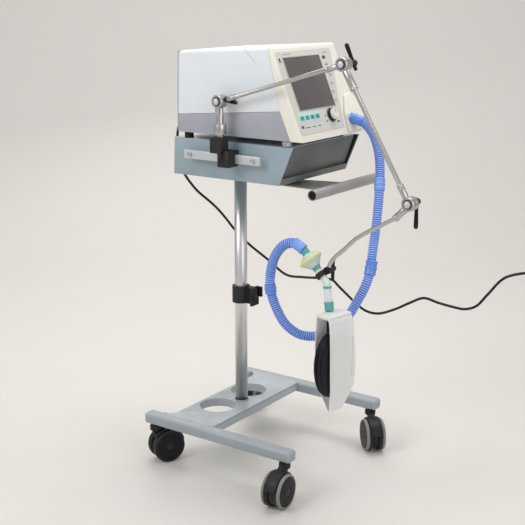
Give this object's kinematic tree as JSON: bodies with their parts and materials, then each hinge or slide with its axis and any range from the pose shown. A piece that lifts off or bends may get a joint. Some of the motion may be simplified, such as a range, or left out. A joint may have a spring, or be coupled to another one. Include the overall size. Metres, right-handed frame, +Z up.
{
  "type": "mechanical ventilator",
  "caption": "Trolley-mounted mechanical ventilator with a sloping control panel, jointed support arm, corrugated breathing hose, filter and hanging test lung.",
  "frame": {"origin": "the point on the floor below the middle of the trolley's base, between its two legs", "axes": "+Z up, +X towards the ventilator's front panel and the free ends of the legs, +Y across the trolley, away from the side that carries the rail and the arm"},
  "size_m": [1.1235, 0.659, 1.2773],
  "materials": {
    "base_paint": "satin",
    "column_metal": "satin",
    "black_plastic": "matte",
    "tray_paint": "satin",
    "tray_dark": "satin",
    "rail_metal": "satin",
    "screw_metal": "polished",
    "handle_grey": "satin",
    "chassis_grey": "satin",
    "housing_white": "satin",
    "bezel_cream": "satin",
    "membrane": "satin",
    "screen_glass": "gloss",
    "rubber_black": "matte",
    "board_green": "matte",
    "psu_metal": "satin",
    "battery_grey": "matte",
    "blower_white": "matte",
    "port_white": "satin",
    "knob_ivory": "satin",
    "key_teal": "satin",
    "arm_steel": "polished",
    "caster_black": "satin",
    "tyre_grey": "matte",
    "hose_blue": "satin",
    "filter_yellow": "satin",
    "connector_teal": "satin",
    "lung_white": "satin",
    "bag_black": "satin",
    "cord_black": "satin"
  },
  "bodies": {
    "root": {"left_leg": "base_paint", "right_leg": "base_paint", "cross_plate": "base_paint", "post_flange": "base_paint", "post": "column_metal", "post_clip": "black_plastic", "tray_shell": "tray_paint", "tray_front_panel": "tray_dark", "equipment_rail": "rail_metal", "rail_screws": "screw_metal", "handle_bracket": "handle_grey", "handle_tube": "handle_grey", "lower_chassis": "chassis_grey", "top_cover": "housing_white", "front_bezel": "bezel_cream", "keypad_panel": "membrane", "display_glass": "screen_glass", "rear_panel": "chassis_grey", "feet": "rubber_black", "main_board": "board_green", "power_supply": "psu_metal", "battery": "battery_grey", "blower_housing": "blower_white", "port_housing": "bezel_cream", "patient_port": "port_white", "rail_clamp": "black_plastic", "hose_1": "hose_blue", "power_cord": "cord_black", "mains_plug": "cord_black"},
    "knob_push": {"knob_shaft": "screw_metal"},
    "knob_turn": {"knob_cap": "knob_ivory"},
    "key_1": {"key_1": "key_teal"},
    "key_2": {"key_2": "key_teal"},
    "key_3": {"key_3": "key_teal"},
    "key_4": {"key_4": "key_teal"},
    "blower": {"blower_rotor": "blower_white"},
    "arm_base": {"arm_post": "arm_steel", "hose_2": "hose_blue"},
    "arm_first": {"arm_link_1": "arm_steel", "hose_3": "hose_blue"},
    "arm_second": {"arm_link_2": "arm_steel", "hose_4": "hose_blue"},
    "arm_third": {"arm_link_3": "arm_steel", "hose_holder": "black_plastic", "filter": "filter_yellow", "lung_connector": "connector_teal", "test_lung_frame": "lung_white", "test_lung_bag": "bag_black"},
    "lever_1": {"lever_1": "black_plastic"},
    "lever_2": {"lever_2": "black_plastic"},
    "lever_3": {"lever_3": "black_plastic"},
    "lever_tip": {"lever_tip": "black_plastic"},
    "swivel_rear_left": {"caster_fork_rear_left": "caster_black"},
    "wheels_rear_left": {"caster_wheels_rear_left": "tyre_grey"},
    "swivel_front_left": {"caster_fork_front_left": "caster_black"},
    "wheels_front_left": {"caster_wheels_front_left": "tyre_grey"},
    "swivel_front_right": {"caster_fork_front_right": "caster_black"},
    "wheels_front_right": {"caster_wheels_front_right": "tyre_grey"},
    "swivel_rear_right": {"caster_fork_rear_right": "caster_black"},
    "wheels_rear_right": {"caster_wheels_rear_right": "tyre_grey"}
  },
  "joints": [
    {"name": "knob_push", "type": "slide", "parent": "root", "child": "knob_push", "axis": [-0.922, 0, -0.3872], "range_m": [0, 0.0008], "stiffness_N_per_m": 400},
    {"name": "knob_turn", "type": "hinge", "parent": "knob_push", "child": "knob_turn", "pos_m": [0.24145, -0.01, 1.0712], "axis": [0.922, 0, 0.3872], "continuous": true},
    {"name": "key_1_press", "type": "slide", "parent": "root", "child": "key_1", "axis": [-0.922, 0, -0.3872], "range_m": [0, 0.001], "stiffness_N_per_m": 400},
    {"name": "key_2_press", "type": "slide", "parent": "root", "child": "key_2", "axis": [-0.922, 0, -0.3872], "range_m": [0, 0.001], "stiffness_N_per_m": 400},
    {"name": "key_3_press", "type": "slide", "parent": "root", "child": "key_3", "axis": [-0.922, 0, -0.3872], "range_m": [0, 0.001], "stiffness_N_per_m": 400},
    {"name": "key_4_press", "type": "slide", "parent": "root", "child": "key_4", "axis": [-0.922, 0, -0.3872], "range_m": [0, 0.001], "stiffness_N_per_m": 400},
    {"name": "blower_spin", "type": "hinge", "parent": "root", "child": "blower", "pos_m": [0.05, 0.02, 1.04], "axis": [0, 0, 1], "continuous": true},
    {"name": "arm_swivel", "type": "hinge", "parent": "root", "child": "arm_base", "pos_m": [0.016, -0.225, 1], "axis": [0, 0, -1], "range_deg": [0, 100], "deforming": ["hose_1"]},
    {"name": "arm_shoulder", "type": "hinge", "parent": "arm_base", "child": "arm_first", "pos_m": [0.016, -0.22, 1.113], "axis": [0, -1, 0], "range_deg": [-12, 40], "deforming": ["hose_2"]},
    {"name": "arm_elbow", "type": "hinge", "parent": "arm_first", "child": "arm_second", "pos_m": [0.406, -0.22, 1.228], "axis": [0, -1, 0], "range_deg": [-20, 50], "deforming": ["hose_3"]},
    {"name": "arm_wrist", "type": "hinge", "parent": "arm_second", "child": "arm_third", "pos_m": [0.603, -0.22, 0.896], "axis": [0, -1, 0], "range_deg": [-25, 60], "deforming": ["hose_4"]},
    {"name": "lever_1_turn", "type": "hinge", "parent": "arm_base", "child": "lever_1", "pos_m": [0.016, -0.205, 1.113], "axis": [0, -1, 0], "range_deg": [-20, 70]},
    {"name": "lever_2_turn", "type": "hinge", "parent": "arm_second", "child": "lever_2", "pos_m": [0.406, -0.17, 1.228], "axis": [0, -1, 0], "range_deg": [-30, 60]},
    {"name": "lever_3_turn", "type": "hinge", "parent": "arm_second", "child": "lever_3", "pos_m": [0.603, -0.19, 0.896], "axis": [0, -1, 0], "range_deg": [-30, 60]},
    {"name": "lever_tip_turn", "type": "hinge", "parent": "arm_third", "child": "lever_tip", "pos_m": [0.365, -0.197, 0.69], "axis": [0, -1, 0], "range_deg": [-30, 60]},
    {"name": "caster_swivel_rear_left", "type": "hinge", "parent": "root", "child": "swivel_rear_left", "pos_m": [-0.229, -0.242, 0.137], "axis": [0, 0, 1], "continuous": true},
    {"name": "wheel_roll_rear_left", "type": "hinge", "parent": "swivel_rear_left", "child": "wheels_rear_left", "pos_m": [-0.21366, -0.21054, 0.05], "axis": [-0.8988, 0.4384, 0], "continuous": true},
    {"name": "caster_swivel_front_left", "type": "hinge", "parent": "root", "child": "swivel_front_left", "pos_m": [0.246, -0.242, 0.137], "axis": [0, 0, 1], "continuous": true},
    {"name": "wheel_roll_front_left", "type": "hinge", "parent": "swivel_front_left", "child": "wheels_front_left", "pos_m": [0.24844, -0.27692, 0.05], "axis": [0.9976, 0.0698, 0], "continuous": true},
    {"name": "caster_swivel_front_right", "type": "hinge", "parent": "root", "child": "swivel_front_right", "pos_m": [0.246, 0.242, 0.137], "axis": [0, 0, 1], "continuous": true},
    {"name": "wheel_roll_front_right", "type": "hinge", "parent": "swivel_front_right", "child": "wheels_front_right", "pos_m": [0.27075, 0.21725, 0.05], "axis": [0.7071, 0.7071, 0], "continuous": true},
    {"name": "caster_swivel_rear_right", "type": "hinge", "parent": "root", "child": "swivel_rear_right", "pos_m": [-0.229, 0.242, 0.137], "axis": [0, 0, 1], "continuous": true},
    {"name": "wheel_roll_rear_right", "type": "hinge", "parent": "swivel_rear_right", "child": "wheels_rear_right", "pos_m": [-0.23806, 0.27581, 0.05], "axis": [-0.9659, -0.2588, 0], "continuous": true}
  ]
}
